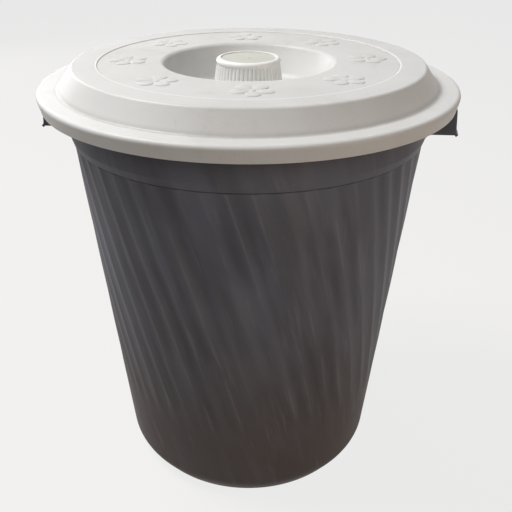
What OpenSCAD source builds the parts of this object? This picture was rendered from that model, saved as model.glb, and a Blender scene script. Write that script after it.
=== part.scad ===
// Round waste bin with a spiral-fluted tapered wall, two moulded pocket grips
// and a loose lift-off lid with a ribbed knob sunk in a round well.
// Millimetres, +Z up, origin on the floor under the middle of the bin.
// The grips lie on the X axis.

/* [Bin] */
// Height of the bin from the floor to the top of its rim
bin_h = 472; // [440:1:500]
// Outside diameter that the wall's taper would have at the floor
wall_base_d = 312; // [300:1:326]
// Outside diameter that the wall's taper would have at the top of the rim
wall_top_d = 398; // [386:1:404]
// Thickness of the wall
wall_t = 3; // [2.6:0.1:4]
// Thickness of the floor
floor_t = 3.5; // [2.5:0.5:6]
// Height of the sloping heel at the foot of the wall
heel_h = 20; // [16:1:30]
// How far the heel draws in from the wall's taper to the foot
heel_in = 12; // [6:0.5:14]
// Radius of the soft edge between the heel and the wall
heel_edge_r = 30; // [10:1:36]
// Radius of the rounded outer edge of the foot
foot_edge_r = 6; // [2:0.5:8]
// Distance from the foot's outer edge to the hollow under the floor
foot_w = 10; // [8:0.5:16]
// Height of the hollow under the floor
foot_h = 5; // [3:0.5:8]
// Radius of the hollow corner between the floor and the heel, inside the bin
floor_edge_r = 4; // [1:0.5:5]

/* [Spiral flutes] */
// Number of flutes round the wall
flute_n = 50; // [36:1:60]
// Depth of a flute below the ridges
flute_depth = 1.2; // [0.6:0.1:1.5]
// Height at which the flutes start
flute_start = 100; // [60:5:140]
// Height over which a flute deepens from its pointed lower end
flute_run_out = 45; // [20:5:80]
// Angle by which a flute turns from its upper end to its lower end
flute_twist = 27; // [0:1:40]
// Share of a flute's width between the X axis and the first ridge, at its upper end
flute_phase = 0.25; // [0:0.25:1]

/* [Collar and rim] */
// Distance from the top of the rim down to the line under the collar
collar_drop = 56.5; // [50:0.5:70]
// How far the collar stands proud of the wall at that line
collar_step = 0.5; // [0.4:0.1:2]
// How far the collar spreads between its line and the grips
collar_spread = 2.5; // [2:0.5:6]
// How far the rim stands out beyond the top of the wall
rim_overhang = 21.5; // [17:0.5:24]
// Thickness of the rim and of its turned-down edge
rim_t = 2.8; // [2:0.1:4]
// Height of the rim's turned-down edge
rim_edge_h = 12.5; // [8:0.5:14]
// Radius of the hollow between the collar and the rim
rim_cove = 8; // [4:1:10]

/* [Pocket grips] */
// Width of a grip
grip_w = 78; // [60:1:110]
// Distance from the top of the rim down to the lower edge of a grip
grip_drop = 44; // [38:1:48]
// How far a grip's upper edge stands beyond the lid's edge
grip_proud = -2; // [-3:0.5:6]
// How far a grip's face leans outwards from its top to its lip
grip_lean = 2; // [0:0.5:5]
// How far the lip at a grip's lower edge stands out
grip_lip = 2.4; // [1:0.2:4]
// Thickness of the grip walls
grip_t = 2.8; // [2:0.1:4]
// Gap between the lid's skirt and the top of the grips
grip_clear = 2; // [1:0.5:4]

/* [Lid] */
// Thickness of the lid
lid_t = 2.6; // [2:0.1:3.5]
// Height of the lid's skirt
skirt_h = 15.5; // [14:0.5:20]
// How far the skirt draws in towards its lower edge
skirt_draw = 3.5; // [1:0.5:8]
// Radius of the lid's outer edge
lid_edge_r = 4; // [3:0.5:5]
// Play between the lid's skirt and the rim, all round
lid_play = 1.4; // [0.8:0.1:3]
// Gap between the lid and the rim that it rests on
seat_gap = 0.3; // [0.2:0.1:0.6]
// Width of the lid's flat edge, from its corner to the foot of the raised crown
lid_edge_w = 22.5; // [16:0.5:26]
// How far the crown's side leans inwards
crown_lean = 16; // [11:0.5:20]
// Height of the crown above the lid's flat edge
crown_h = 21.5; // [14:0.5:30]
// Diameter of the step that rings the crown
ring_d = 326; // [310:1:340]
// Height of that step
ring_step = 1; // [0.5:0.1:2]
// Diameter of the well at its lip
well_d = 186; // [170:1:200]
// Diameter of the well's floor
well_floor_d = 150; // [130:1:160]
// Depth of the well
well_depth = 36; // [28:1:42]
// Radius of the well's lip
well_lip_r = 6; // [4:0.5:10]
// Radius of the hollow corner at the well's floor
well_floor_r = 12; // [4:1:20]

/* [Flowers on the lid] */
// Number of raised flowers round the well
flower_n = 8; // [4:1:8]
// Diameter of the circle that the flowers stand on
flower_ring_d = 260; // [250:1:266]
// Distance of a petal's middle from its flower's middle
petal_reach = 14; // [12:0.5:16]
// Diameter of a petal's round end
petal_d = 15.2; // [10:0.2:16]
// Number of petals on a flower
petal_n = 5; // [4:1:5]
// Height of a petal at its middle
petal_h = 1.2; // [0.8:0.1:1.5]
// How far a petal falls away from its middle to its edge
petal_fall = 0.5; // [0.3:0.05:0.7]
// Diameter of a flower's middle
flower_eye_d = 7; // [5:0.5:9]
// Height of a flower's middle
flower_eye_h = 0.8; // [0.4:0.1:1.5]
// Direction of the first flower, seen from above
flower_first = -84; // [-90:1:0]

/* [Knob] */
// Height of the knob
knob_h = 39; // [30:1:45]
// Diameter of the knob at its top
knob_top_d = 70; // [66:1:80]
// Diameter of the knob at its foot, over the ribs
knob_base_d = 79; // [76:1:90]
// Number of grip ribs round the knob
rib_n = 50; // [36:1:60]
// Height of a grip rib
rib_h = 0.9; // [0.5:0.1:1.2]
// Height of the plain band above the ribs
band_h = 5; // [4:0.5:8]
// How far that band stands proud of the ribs
band_step = 0.5; // [0.4:0.1:1]
// Radius of the knob's upper edge
knob_edge_r = 3.5; // [1:0.5:4]
// Thickness of the knob's wall
knob_t = 2.6; // [2:0.1:4]
// Diameter of the disc let into the knob
cap_d = 60; // [50:1:61]
// Thickness of the disc
cap_t = 1.6; // [1:0.1:2.5]
// How far the disc lies below the knob's upper edge
cap_drop = 1.2; // [0.6:0.1:2]
// Gap round the disc
cap_clear = 0.2; // [0.1:0.1:0.4]
// Diameter of the small nub in the middle of the disc
nub_d = 4; // [2:0.5:8]
// Height of that nub
nub_h = 0.6; // [0.3:0.1:1]
// Thickness of the knob's top under the disc
knob_top_t = 2.4; // [1.6:0.1:4]
// Diameter of the post inside the knob
post_d = 14; // [11:1:20]
// Thickness of the webs that brace the post
web_t = 1.8; // [1.2:0.1:3]
// Height of the webs
web_h = 20; // [8:1:24]

/* [Knob screw] */
// Diameter of the screw's shank
screw_d = 4; // [3:0.5:5]
// Length of the screw under its head
screw_l = 20; // [12:1:28]
// Diameter of the screw's head
screw_head_d = 8; // [7:0.5:10]
// Height of the screw's head
screw_head_h = 2.6; // [2:0.2:4]
// Diameter of the washer
washer_d = 16; // [12:1:22]
// Thickness of the washer
washer_t = 1.2; // [0.8:0.1:2]
// Play between the screw and the hole in the lid and in the washer, all round
screw_play = 0.3; // [0.2:0.1:0.6]
// Play between the screw and its pilot hole in the post, all round
pilot_play = 0.05; // [0.02:0.01:0.1]

/* [Hidden] */
$fn = 180;

// Straight pieces in a rounded corner and in one of the wall's rounded edges
arc_steps = 6;
heel_steps = 4;
// Points across a flute and across a knob rib
flute_points = 4;
rib_points = 6;
// Rings of the wall along the flutes' run-out and along the rest of their length
run_out_rings = 4;
straight_rings = 7;
// Depth by which a shape reaches into its neighbour so that the two fuse, and height by
// which the last two rings of the wall lie below the collar's line and above it, inside
bite = 1;
collar_tuck = 6;

// The wall
wall_slope = (wall_top_d - wall_base_d) / 2 / bin_h;
function wall_r(z) = wall_base_d / 2 + wall_slope * z;
foot_r = wall_r(0) - heel_in;
collar_z = bin_h - collar_drop;

// The lid's seat on the rim, and the rim that its skirt goes round
rim_r = wall_top_d / 2 + rim_overhang;
skirt_r = rim_r + lid_play + lid_t;
lid_r = skirt_r + skirt_draw;
crown_base_r = lid_r - lid_edge_w;
crown_top_r = crown_base_r - crown_lean;
seat_z = bin_h + seat_gap;
edge_z = seat_z + lid_t;
skirt_z = edge_z - skirt_h;
crown_z = edge_z + crown_h;
well_top_z = crown_z - ring_step;
well_z = well_top_z - well_depth;
well_under_z = well_z - lid_t;

// The grips hang below the rim's edge, on a neck thinner than it by this step each side
hang_step = 0.6;
rim_edge_z = bin_h - rim_edge_h;
grip_top_z = skirt_z - grip_clear;
grip_z = bin_h - grip_drop;
grip_r = lid_r + grip_proud;
grip_face_r = grip_r + grip_lean;
grip_lip_r = grip_face_r + grip_lip;
collar_r = wall_r(collar_z) + collar_step;
collar_top_r = collar_r + collar_spread;

// The knob stands on the floor of the well
knob_z = well_z;
knob_top_z = knob_z + knob_h;
cap_z = knob_top_z - cap_drop - cap_t;
knob_roof_z = cap_z - knob_top_t;
core_top_r = knob_top_d / 2 - band_step - rib_h;
core_base_r = knob_base_d / 2 - rib_h;
rib_top_z = knob_top_z - band_h;
washer_z = well_under_z - washer_t;
pilot_r = screw_d / 2 + pilot_play;

// Plane geometry
function unit(v) = v / norm(v);
function flat(p) = [p.x, p.y];
function left(v) = [-v.y, v.x];
function polar(r, a) = r * [cos(a), sin(a)];

// Points of an arc of radius r that rounds the corner at b between a and c
function corner(a, b, c, r, steps) =
    let (
        u = unit(a - b),
        v = unit(c - b),
        half = acos(u * v) / 2,
        mid = b + unit(u + v) * r / sin(half),
        from = b + u * r / tan(half) - mid,
        to = b + v * r / tan(half) - mid,
        start = atan2(from.y, from.x),
        turn = atan2(from.x * to.y - from.y * to.x, from * to)
    )
    [for (i = [0:steps]) mid + polar(r, start + turn * i / steps)];

// Points of an outline of corners [x, y] or [x, y, radius], each rounded by its radius
function rounded(path, steps = arc_steps) = [
    for (i = [0:len(path) - 1])
        each len(path[i]) < 3
            ? [path[i]]
            : corner(flat(path[i - 1]), flat(path[i]), flat(path[i + 1]), path[i][2], steps)
];

// The path moved sideways by t, to its left
function shifted(path, t) = [
    for (i = [0:len(path) - 1])
        let (
            here = path[i],
            along = i == 0 ? unit(path[1] - here) : unit(here - path[i - 1]),
            next = i == len(path) - 1 ? along : unit(path[i + 1] - here),
            side = unit(left(along) + left(next))
        )
        here + side * t / (side * left(along))
];

// Outline of a sheet of thickness t to the right of a path of corners
function sheet(path, t) =
    let (line = rounded(path), back = shifted(line, -t))
    concat(line, [for (i = [len(back) - 1:-1:0]) back[i]]);

// Corners of the wall's outside: foot, heel and top of the taper
wall_path = [
    [foot_r, 0, foot_edge_r],
    [wall_r(heel_h), heel_h, heel_edge_r],
    [wall_r(bin_h + bite), bin_h + bite]
];

// One flute's depth at a share of its width and at a height on the wall
function flute(share, z) =
    let (lift = flute_depth * max(0, 1 - (z - flute_start) / flute_run_out))
    max(0, flute_depth * (1 - pow(2 * share - 1, 2)) - lift);

// Ring of points round the wall at the radius r and the height z
function wall_ring(r, z) = [
    for (i = [0:flute_n * flute_points - 1])
        let (
            share = (i % flute_points) / flute_points,
            turn = flute_twist * (collar_z - z) / (collar_z - flute_start),
            a = 360 / flute_n * (flute_phase + i / flute_points) + turn,
            here = polar(r - flute(share, z), a)
        )
        [here.x, here.y, z]
];

// Heights of the rings where the flutes run out, along the rest of their length and
// inside the collar
flute_levels = concat(
    [for (i = [0:run_out_rings - 1]) flute_start + flute_run_out * i / run_out_rings],
    [for (i = [0:straight_rings])
        let (low = flute_start + flute_run_out, high = collar_z - collar_tuck)
        low + (high - low) * i / straight_rings],
    [collar_z + collar_tuck]
);

// Radius and height of every ring, from the foot and the heel upwards
wall_line = concat(
    [for (p = rounded(concat([[0, 0]], wall_path), heel_steps)) if (p.x > 0 && p.y < bin_h) p],
    [for (z = flute_levels) [wall_r(z), z]]
);

// Solid form of the wall: foot, heel, plain base and spiral flutes
module fluted_form() {
    n = flute_n * flute_points;
    last = len(wall_line) - 1;
    points = [for (p = wall_line) each wall_ring(p.x, p.y)];
    sides = [
        for (k = [0:last - 1], i = [0:n - 1])
            let (a = k * n + i, b = k * n + (i + 1) % n)
            each [[a, a + n, b + n], [a, b + n, b]]
    ];
    bottom = [for (i = [0:n - 1]) i];
    top = [for (i = [n - 1:-1:0]) last * n + i];
    polyhedron(points = points, faces = concat([bottom, top], sides));
}

// Collar above the flutes, and the rim with its turned-down edge
module collar_and_rim() {
    under_z = bin_h - rim_t;
    rotate_extrude()
        polygon(rounded([
            [0, collar_z],
            [collar_r, collar_z],
            [collar_top_r, grip_z, rim_cove],
            [collar_top_r + collar_step, under_z, rim_cove],
            [rim_r - rim_t, under_z, rim_t / 4],
            [rim_r - rim_t, rim_edge_z],
            [rim_r, rim_edge_z],
            [rim_r, bin_h, rim_t],
            [0, bin_h]
        ]));
}

// Hollow under the floor, inside the foot that the bin stands on
module foot_hollow() {
    hollow_r = foot_r - foot_w;
    rotate_extrude()
        polygon(rounded([
            [0, -bite],
            [hollow_r + bite, -bite],
            [hollow_r - foot_h, foot_h, foot_h / 2],
            [0, foot_h]
        ]));
}

// Inside of the bin, one wall's thickness within its outside, taken out of the whole form
module bin_hollow() {
    floor_z = foot_h + floor_t;
    line = shifted([for (p = wall_path) flat(p)], wall_t);
    rise = line[1] - line[0];
    floor_corner = line[0] + rise * (floor_z - line[0].y) / rise.y;
    rotate_extrude()
        polygon(rounded([
            [0, floor_z],
            [floor_corner.x, floor_z, floor_edge_r],
            [line[1].x, line[1].y, heel_edge_r - wall_t],
            line[2],
            [0, line[2].y]
        ]));
}

// Plan of a grip: a strip that runs out along X
module grip_plan(inset) {
    half = grip_w / 2 - inset;
    reach = grip_lip_r * 2;
    translate([0, -half])
        square([reach, 2 * half]);
}

// Outline of a grip's plate, face and lip, as a section through the axis
module grip_section() {
    face_foot_z = grip_z + grip_t;
    polygon(sheet([
        [rim_r - rim_t, grip_top_z],
        [grip_r, grip_top_z, grip_t + bite],
        [grip_face_r, face_foot_z, grip_t],
        [grip_lip_r, grip_z]
    ], grip_t));
}

// Outline of an end web, from the collar to the face of the grip
module web_section() {
    inner_r = wall_r(collar_z) - bite;
    polygon(rounded([
        [inner_r, collar_z],
        [collar_r + bite, collar_z],
        [collar_top_r, grip_z, rim_cove],
        [grip_lip_r - grip_t, grip_z],
        [grip_r - bite, grip_top_z - grip_t / 2],
        [rim_r - rim_t / 2, grip_top_z - grip_t / 2],
        [rim_r - rim_t / 2, bin_h - rim_t / 2],
        [inner_r, bin_h - rim_t / 2]
    ]));
}

// One pocket grip, open below, on the +X side
module pocket_grip() {
    intersection() {
        rotate_extrude()
            union() {
                grip_section();
                translate([rim_r - rim_t + hang_step, grip_top_z - grip_t / 2])
                    square([rim_t - 2 * hang_step, rim_edge_z + bite - grip_top_z + grip_t / 2]);
            }
        linear_extrude(height = bin_h)
            grip_plan(0);
    }
    intersection() {
        rotate_extrude()
            web_section();
        linear_extrude(height = bin_h)
            difference() {
                grip_plan(0);
                translate([-bite, 0])
                    grip_plan(grip_t);
            }
    }
}

module bin_body() {
    color([0.27, 0.27, 0.29])
        difference() {
            union() {
                fluted_form();
                collar_and_rim();
                for (side = [0, 180])
                    rotate([0, 0, side])
                        pocket_grip();
            }
            bin_hollow();
            foot_hollow();
        }
}

// Corners of the lid's upper face, from its middle to the foot of its skirt
lid_path = [
    [0, well_z],
    [well_floor_d / 2, well_z, well_floor_r],
    [well_d / 2, well_top_z, well_lip_r],
    [ring_d / 2 - ring_step, well_top_z],
    [ring_d / 2, crown_z],
    [crown_top_r, crown_z, lid_edge_r],
    [crown_base_r, edge_z, lid_edge_r],
    [lid_r, edge_z, lid_edge_r],
    [skirt_r, skirt_z]
];

// One petal with a domed face, on the lid's upper face at its flower's middle
module petal() {
    end_r = petal_d / 2;
    dome_r = (end_r * end_r + petal_fall * petal_fall) / (2 * petal_fall);
    side = acos(end_r / petal_reach);
    intersection() {
        translate([0, 0, -bite])
            linear_extrude(height = bite + petal_h)
                union() {
                    translate([petal_reach, 0])
                        circle(r = end_r);
                    polygon([
                        [0, 0],
                        [petal_reach, 0] - polar(end_r, side),
                        [petal_reach, 0],
                        [petal_reach, 0] + polar(end_r, 180 - side)
                    ]);
                }
        translate([petal_reach, 0, petal_h - dome_r])
            sphere(r = dome_r);
    }
}

// One flower of petals round a flat middle, a petal pointing to the lid's edge
module flower() {
    for (i = [0:petal_n - 1])
        rotate([0, 0, 360 * i / petal_n])
            petal();
    translate([0, 0, -bite])
        cylinder(d = flower_eye_d, h = bite + flower_eye_h);
}

module lid() {
    color([0.86, 0.86, 0.85])
        difference() {
            union() {
                rotate_extrude()
                    polygon(sheet(lid_path, lid_t));
                for (i = [0:flower_n - 1])
                    rotate([0, 0, flower_first + 360 * i / flower_n])
                        translate([flower_ring_d / 2, 0, well_top_z])
                            flower();
            }
            translate([0, 0, well_under_z - bite])
                cylinder(d = screw_d + 2 * screw_play, h = lid_t + 2 * bite);
        }
}

// Plan of the ribbed part of the knob at its foot
module rib_plan() {
    n = rib_n * rib_points;
    polygon([
        for (i = [0:n - 1])
            let (share = (i % rib_points) / rib_points)
            polar(core_base_r + rib_h * sin(180 * share), 360 * i / n)
    ]);
}

module knob() {
    ribbed_h = knob_h - band_h;
    inner_top_r = core_top_r - knob_t;
    inner_base_r = core_base_r - knob_t;
    band_r = knob_top_d / 2;
    color([0.95, 0.95, 0.93])
        difference() {
            union() {
                difference() {
                    union() {
                        translate([0, 0, knob_z])
                            linear_extrude(height = ribbed_h, scale = core_top_r / core_base_r)
                                rib_plan();
                        rotate_extrude()
                            polygon(rounded([
                                [0, rib_top_z - bite],
                                [core_top_r - bite, rib_top_z - bite],
                                [band_r, rib_top_z, bite / 2],
                                [band_r, knob_top_z, knob_edge_r],
                                [0, knob_top_z]
                            ]));
                    }
                    rotate_extrude()
                        polygon([
                            [0, knob_z - bite],
                            [inner_base_r, knob_z - bite],
                            [inner_base_r, knob_z],
                            [inner_top_r, knob_roof_z],
                            [0, knob_roof_z]
                        ]);
                }
                translate([0, 0, knob_z])
                    cylinder(d = post_d, h = knob_roof_z - knob_z + bite);
                for (a = [0, 90])
                    rotate([0, 0, a])
                        translate([-inner_top_r, -web_t / 2, knob_roof_z - web_h])
                            cube([2 * inner_top_r, web_t, web_h + bite]);
            }
            translate([0, 0, cap_z])
                cylinder(d = cap_d + 2 * cap_clear, h = cap_t + cap_drop + bite);
            translate([0, 0, knob_z - bite])
                cylinder(r = pilot_r, h = screw_l - lid_t - washer_t + 2 * bite);
        }
}

module knob_cap() {
    color([0.93, 0.89, 0.8])
        union() {
            translate([0, 0, cap_z])
                cylinder(d = cap_d, h = cap_t);
            translate([0, 0, cap_z + cap_t - bite / 2])
                cylinder(d = nub_d, h = nub_h + bite / 2);
        }
}

module knob_screw() {
    color([0.7, 0.71, 0.73])
        union() {
            translate([0, 0, washer_z])
                cylinder(d = screw_d, h = screw_l);
            translate([0, 0, washer_z - screw_head_h])
                cylinder(d = screw_head_d, h = screw_head_h);
        }
}

module knob_washer() {
    color([0.62, 0.63, 0.65])
        translate([0, 0, washer_z])
            difference() {
                cylinder(d = washer_d, h = washer_t);
                translate([0, 0, -bite])
                    cylinder(d = screw_d + 2 * screw_play, h = washer_t + 2 * bite);
            }
}

bin_body();
lid();
knob();
knob_cap();
knob_screw();
knob_washer();
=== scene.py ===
import math

import bmesh
import bpy
from mathutils import Matrix, Vector


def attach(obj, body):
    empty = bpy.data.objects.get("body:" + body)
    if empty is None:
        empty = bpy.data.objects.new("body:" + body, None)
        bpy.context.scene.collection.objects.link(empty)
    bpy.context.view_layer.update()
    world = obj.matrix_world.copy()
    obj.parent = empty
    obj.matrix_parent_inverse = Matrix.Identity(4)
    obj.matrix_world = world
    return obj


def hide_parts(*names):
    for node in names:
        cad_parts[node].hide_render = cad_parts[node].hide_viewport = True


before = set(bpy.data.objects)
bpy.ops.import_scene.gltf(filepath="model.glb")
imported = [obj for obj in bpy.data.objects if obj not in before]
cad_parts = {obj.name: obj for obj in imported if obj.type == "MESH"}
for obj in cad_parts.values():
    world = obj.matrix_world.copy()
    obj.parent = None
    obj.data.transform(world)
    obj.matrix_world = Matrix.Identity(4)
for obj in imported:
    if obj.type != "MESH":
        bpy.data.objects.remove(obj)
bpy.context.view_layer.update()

# Sizes are in millimetres, as in the part's source, and MM turns them into metres.
MM = 0.001
# The widest edges stay this much inside the solids' box.
HAIR = 0.1
# A point of an outline nearer to the axis than this lies on it.
ON_AXIS = 1e-6

# The bin
BIN_H = 472
WALL_BASE_R = 156
WALL_TOP_R = 199
WALL_T = 3
WALL_SLOPE = (WALL_TOP_R - WALL_BASE_R) / BIN_H
FLOOR_T = 3.5
HEEL_H = 20
HEEL_EDGE_R = 30
FOOT_R = WALL_BASE_R - 12
FOOT_EDGE_R = 6
FOOT_HOLLOW_R = FOOT_R - 10
FOOT_HOLLOW_EDGE_R = 1
FOOT_H = 5
FLOOR_EDGE_R = 4

# The spiral flutes
FLUTES = 50
FLUTE_POINTS = 10
FLUTE_DEPTH = 1.2
FLUTE_START = 100
FLUTE_RUN_OUT = 45
FLUTE_TWIST = math.radians(27)
FLUTE_FIRST = 2 * math.pi / FLUTES * 0.25

# The collar and the rim. The collar's lower edge lies 4.5 mm above that of the solids, as on
# the real bin.
COLLAR_Z = BIN_H - 52
COLLAR_STEP = 0.5
COLLAR_EDGE_R = 0.2
COLLAR_R = WALL_BASE_R + WALL_SLOPE * COLLAR_Z + COLLAR_STEP
COLLAR_SPREAD = 2.5
RIM_R = WALL_TOP_R + 21.5
RIM_T = 2.8
RIM_MID_R = RIM_R - RIM_T / 2
RIM_EDGE_Z = BIN_H - 12.5
RIM_EDGE_R = 0.6
RIM_COVE = 8
MOUTH_EDGE_R = 1.2

# The lid
LID_T = 2.6
LID_EDGE_R = 4
LID_PLAY = 1.4
SEAT_GAP = 0.3
EDGE_Z = BIN_H + SEAT_GAP + LID_T
SKIRT_R = RIM_R + LID_PLAY + LID_T
SKIRT_Z = EDGE_Z - 15.5
LID_R = SKIRT_R + 3.5
CROWN_BASE_R = LID_R - 22.5
CROWN_TOP_R = CROWN_BASE_R - 16
CROWN_Z = EDGE_Z + 21.5
RING_R = 163
RING_STEP = 1
RING_EDGE_R = 0.5
WELL_TOP_Z = CROWN_Z - RING_STEP
WELL_Z = WELL_TOP_Z - 36
WELL_R = 93
WELL_FLOOR_R = 75
WELL_LIP_R = 6
WELL_CORNER_R = 12

# The pocket grips
GRIP_HALF_W = 39
GRIP_Z = BIN_H - 44
GRIP_TOP_Z = SKIRT_Z - 2
GRIP_R = LID_R - 2
GRIP_LEAN = 2
GRIP_LIP = 2.4
GRIP_T = 2.8
GRIP_EDGE_R = 0.6
# How far the neck stays inside the rim's faces and reaches up into the rim's edge.
NECK_INSET = 0.6
NECK_RISE = 1
# How far the ends of the neck and of the webs stay behind those of the face.
NECK_SHORT = 0.3
GRIP_WEB_SHORT = 0.15
# How far the webs reach into the collar, and how far they start in front of it.
GRIP_WEB_SINK = 2
GRIP_WEB_FOOT = 1

# The flowers on the lid
FLOWERS = 8
FLOWER_RING_R = 130
FLOWER_FIRST = math.radians(-84)
PETALS = 5
PETAL_REACH = 14
PETAL_R = 7.6
PETAL_H = 1.2
PETAL_FALL = 0.5
PETAL_EDGE_DROP = 0.35
PETAL_ROOT_Z = -1.5
EYE_R = 3.5
EYE_H = 0.8

# The knob
KNOB_Z = WELL_Z
KNOB_TOP_Z = KNOB_Z + 39
KNOB_TOP_R = 35
KNOB_FOOT_R = 38.6
KNOB_CHAMFER_H = 0.6
KNOB_CHAMFER_W = 0.4
RIB_TOP_R = 33.6
RIBS = 50
RIB_POINTS = 10
RIB_H = 0.9
BAND_H = 5
BAND_Z = KNOB_TOP_Z - BAND_H
BAND_EDGE_R = 0.4
KNOB_EDGE_R = 3.5
KNOB_T = 2.6
CAP_R = 30
CAP_T = 1.6
CAP_Z = KNOB_TOP_Z - 1.2 - CAP_T
CAP_TOP_Z = CAP_Z + CAP_T
CAP_EDGE_R = 0.4
CAP_FOOT_EDGE_R = 0.2
CAP_GAP = 0.2
KNOB_ROOF_Z = CAP_Z - 2.4
NUB_R = 2
NUB_H = 0.6
NUB_EDGE_R = 0.3
POST_R = 7
POST_GAP = 0.1
PILOT_R = 2.05
KNOB_WEB_T = 1.8
KNOB_WEB_H = 20
# How far the post and the webs reach into the knob's roof.
ROOF_SINK = 1

# The screw and its washer
SCREW_R = 2
SCREW_L = 20
SCREW_POINT_H = 2
SCREW_HEAD_R = 4
SCREW_HEAD_H = 2.6
SCREW_HEAD_EDGE_R = 1.4
SCREW_SEAT_EDGE_R = 0.2
# Width, thickness and height of each bar of the cross recess.
RECESS = (4.4, 0.9, 2.6)
WASHER_R = 8
WASHER_T = 1.2
WASHER_Z = WELL_Z - LID_T - WASHER_T
WASHER_TOP_Z = WASHER_Z + WASHER_T
WASHER_EDGE_R = 0.3
WASHER_HOLE_R = 2.3
WASHER_HOLE_EDGE_R = 0.2


def wall_r(z):
    """Radius of the plain tapered wall at height z."""
    return WALL_BASE_R + WALL_SLOPE * z


# Node trees


class Wire:
    """A node's output, which Python's operators turn into Math nodes."""

    def __init__(self, plan, socket):
        self.plan = plan
        self.socket = socket

    def __add__(self, other):
        return self.plan.math("ADD", self, other)

    __radd__ = __add__

    def __mul__(self, other):
        return self.plan.math("MULTIPLY", self, other)

    __rmul__ = __mul__

    def __sub__(self, other):
        return self.plan.math("SUBTRACT", self, other)

    def __rsub__(self, other):
        return self.plan.math("SUBTRACT", other, self)

    def __truediv__(self, other):
        return self.plan.math("DIVIDE", self, other)

    def __pow__(self, other):
        return self.plan.math("POWER", self, other)

    def out(self, name):
        """Another output of the same node."""
        return Wire(self.plan, self.socket.node.outputs[name])


class Plan:
    """A node tree in the making."""

    def __init__(self, tree):
        self.tree = tree
        tree.nodes.clear()

    def node(self, kind, settings=None, inputs=None, output=0):
        """Adds one node with its settings, then the values or wires of its sockets."""
        made = self.tree.nodes.new(kind)
        for name, value in (settings or {}).items():
            setattr(made, name, value)
        for name, value in (inputs or {}).items():
            if isinstance(value, Wire):
                self.tree.links.new(value.socket, made.inputs[name])
            else:
                made.inputs[name].default_value = value
        return Wire(self, made.outputs[output]) if made.outputs else made

    def math(self, operation, *values):
        """A Math node on numbers or wires."""
        return self.node(
            "ShaderNodeMath", {"operation": operation}, dict(enumerate(values))
        )

    def vector(self, operation, *values):
        """A Vector Math node on vectors or wires."""
        return self.node(
            "ShaderNodeVectorMath", {"operation": operation}, dict(enumerate(values))
        )

    def split(self, vector):
        """The x, y and z of a vector."""
        x = self.node("ShaderNodeSeparateXYZ", inputs={0: vector})
        return x, x.out("Y"), x.out("Z")

    def joined(self, x, y, z):
        """A vector of three numbers or wires."""
        return self.node("ShaderNodeCombineXYZ", inputs={0: x, 1: y, 2: z})

    def across(self, vector):
        """The distance from the Z axis."""
        x, y = self.split(vector)[:2]
        return (x * x + y * y) ** 0.5

    def step_share(self, vector, count):
        """How far round Z a point lies in its own of count equal steps, from 0 to 1."""
        x, y = self.split(vector)[:2]
        return self.math("FRACT", self.math("ARCTAN2", y, x) * (count / (2 * math.pi)))

    def turned(self, vector, angle):
        """The vector turned about Z by an angle."""
        return self.node(
            "ShaderNodeVectorRotate",
            {"rotation_type": "Z_AXIS"},
            {"Vector": vector, "Angle": angle},
        )

    def smooth(self, value, low, high):
        """0 below low, 1 above high and a smooth rise between them."""
        return self.node(
            "ShaderNodeMapRange",
            {"interpolation_type": "SMOOTHSTEP"},
            {"Value": value, "From Min": low, "From Max": high},
        )

    def rise(self, value, low, high):
        """The same smooth rise between two sizes in millimetres."""
        return self.smooth(value, low * MM, high * MM)


# Outlines

# The held point's distance from its arc, as a share of the radius and at most.
HOLD_SHARE = 0.15
HOLD_MOST = 0.4


def corner(a, b, c, radius, steps):
    """Points of an arc that rounds the corner at b, with a point held close on each side."""
    u, v = (a - b).normalized(), (c - b).normalized()
    half = u.angle(v) / 2
    reach = radius / math.tan(half)
    middle = b + (u + v).normalized() * radius / math.sin(half)
    first, last = b + u * reach - middle, b + v * reach - middle
    start = math.atan2(first.y, first.x)
    turn = math.atan2(first.cross(last), first.dot(last))
    angles = [start + turn * i / steps for i in range(steps + 1)]
    arc = [middle + radius * Vector((math.cos(a), math.sin(a))) for a in angles]
    hold = min(HOLD_SHARE * radius, HOLD_MOST)
    return [arc[0] + u * hold, *arc, arc[-1] + v * hold]


def rounded(path, closed=False, steps=6):
    """The path of corners (r, z) or (r, z, radius), with each corner that has a radius rounded."""
    flat = [Vector(p[:2]) for p in path]
    points = []
    for i, p in enumerate(path):
        if len(p) < 3 or not closed and i in (0, len(path) - 1):
            points.append(flat[i])
        else:
            points += corner(flat[i - 1], flat[i], flat[(i + 1) % len(path)], p[2], steps)
    return points


def shifted(path, t):
    """The path moved sideways by t, to its left."""
    moved = []
    for i, here in enumerate(path):
        along = (here - path[i - 1] if i else path[1] - here).normalized()
        after = (path[i + 1] - here).normalized() if i < len(path) - 1 else along
        left = Vector((-along.y, along.x))
        side = (left + Vector((-after.y, after.x))).normalized()
        moved.append(here + side * t / side.dot(left))
    return moved


def round_end(a, b, steps=5):
    """Points of a half circle from a to b, for the free edge of a sheet."""
    middle, arm = (a + b) / 2, (a - b) / 2
    return [
        middle + Matrix.Rotation(-math.pi * i / steps, 2) @ arm for i in range(1, steps)
    ]


# Meshes

# Points nearer together than this become one.
MERGE_REACH = 0.01


def finished(name, mesh, material, body, crease=40):
    """A shown piece: faces outwards, smooth but for its creases, on its body."""
    shape = bmesh.new()
    shape.from_mesh(mesh)
    bmesh.ops.remove_doubles(shape, verts=shape.verts, dist=MERGE_REACH * MM)
    bmesh.ops.recalc_face_normals(shape, faces=shape.faces)
    shape.to_mesh(mesh)
    shape.free()
    mesh.shade_smooth()
    mesh.set_sharp_from_angle(angle=math.radians(crease))
    mesh.materials.clear()
    mesh.materials.append(material)
    piece = bpy.data.objects.new(name, mesh)
    bpy.context.scene.collection.objects.link(piece)
    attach(piece, body)
    return piece


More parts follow.
